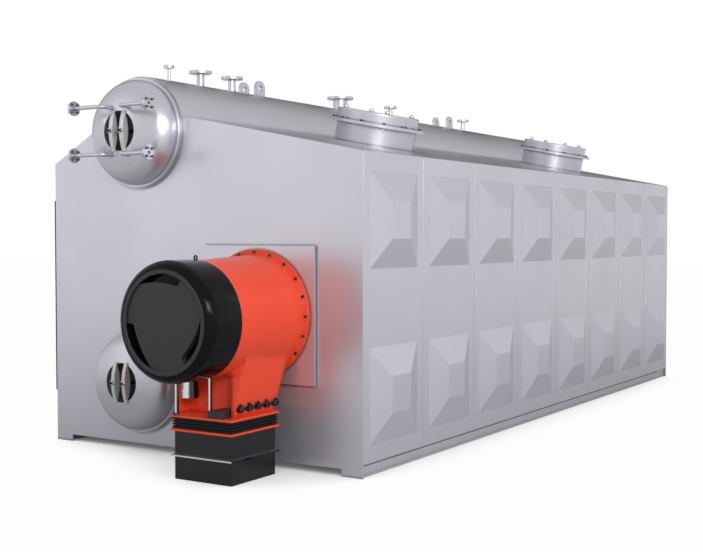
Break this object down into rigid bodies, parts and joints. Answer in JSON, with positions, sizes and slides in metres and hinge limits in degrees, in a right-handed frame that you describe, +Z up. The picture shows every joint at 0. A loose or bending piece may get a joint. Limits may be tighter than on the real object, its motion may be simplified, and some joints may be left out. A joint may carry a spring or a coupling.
{
  "type": "industrial water-tube boiler",
  "caption": "Packaged two-drum water-tube boiler: panelled box casing, dished steam and water drums, roof relief doors and a round gas burner on a floor-standing air duct.",
  "frame": {"origin": "centre of the whole footprint, on the floor", "axes": "+Z up, +Y from the burner front towards the rear, +X towards the right wall"},
  "size_m": [3.645, 10.0172, 3.53],
  "materials": {
    "casing_paint": "light grey satin paint",
    "drum_paint": "light grey semi-gloss paint",
    "base_paint": "light grey satin paint",
    "burner_red": "orange-red semi-gloss paint",
    "burner_black": "gloss black",
    "cover_grey": "dark grey satin",
    "hatch_black": "dark primer",
    "duct_black": "satin black paint",
    "bellows_black": "black rubberised cloth",
    "bright_steel": "machined steel",
    "chrome_rod": "polished",
    "flue_black": "heat-proof black paint",
    "tube_steel": "oxidised boiler tube"
  },
  "bodies": {
    "root": {"air_bellows": "bellows_black", "air_duct": "duct_black", "air_duct_joint": "bright_steel", "base_cross_beams": "base_paint", "base_skirts": "base_paint", "burner_front_cover": "cover_grey", "burner_hood": "burner_black", "burner_housing": "burner_red", "burner_inlet_fitting": "bright_steel", "burner_inlet_flanges": "burner_red", "burner_mounting_plate": "casing_paint", "burner_support_rods": "chrome_rod", "burner_terminal_box": "cover_grey", "casing_floor": "base_paint", "convection_tubes": "tube_steel", "explosion_door_collars": "casing_paint", "explosion_door_lids": "casing_paint", "flue_outlet": "flue_black", "front_wall": "casing_paint", "instrument_nozzles": "drum_paint", "left_panel_1": "casing_paint", "left_panel_2": "casing_paint", "left_panel_3": "casing_paint", "left_panel_4": "casing_paint", "left_panel_5": "casing_paint", "left_panel_6": "casing_paint", "left_panel_7": "casing_paint", "left_panel_8": "casing_paint", "level_gauge_pipes": "drum_paint", "lifting_lugs": "drum_paint", "manhole_covers": "hatch_black", "manhole_yokes": "bright_steel", "rear_wall": "casing_paint", "right_panel_1": "casing_paint", "right_panel_2": "casing_paint", "right_panel_3": "casing_paint", "right_panel_4": "casing_paint", "right_panel_5": "casing_paint", "right_panel_6": "casing_paint", "right_panel_7": "casing_paint", "right_panel_8": "casing_paint", "roof_left": "casing_paint", "roof_right": "casing_paint", "safety_valve_nozzles": "drum_paint", "skid_left": "base_paint", "skid_right": "base_paint", "steam_drum": "drum_paint", "steam_drum_front_head": "drum_paint", "steam_drum_rear_head": "drum_paint", "steam_outlet_nozzle": "drum_paint", "water_drum": "drum_paint", "water_drum_front_head": "drum_paint", "water_drum_rear_head": "drum_paint"}
  },
  "joints": []
}
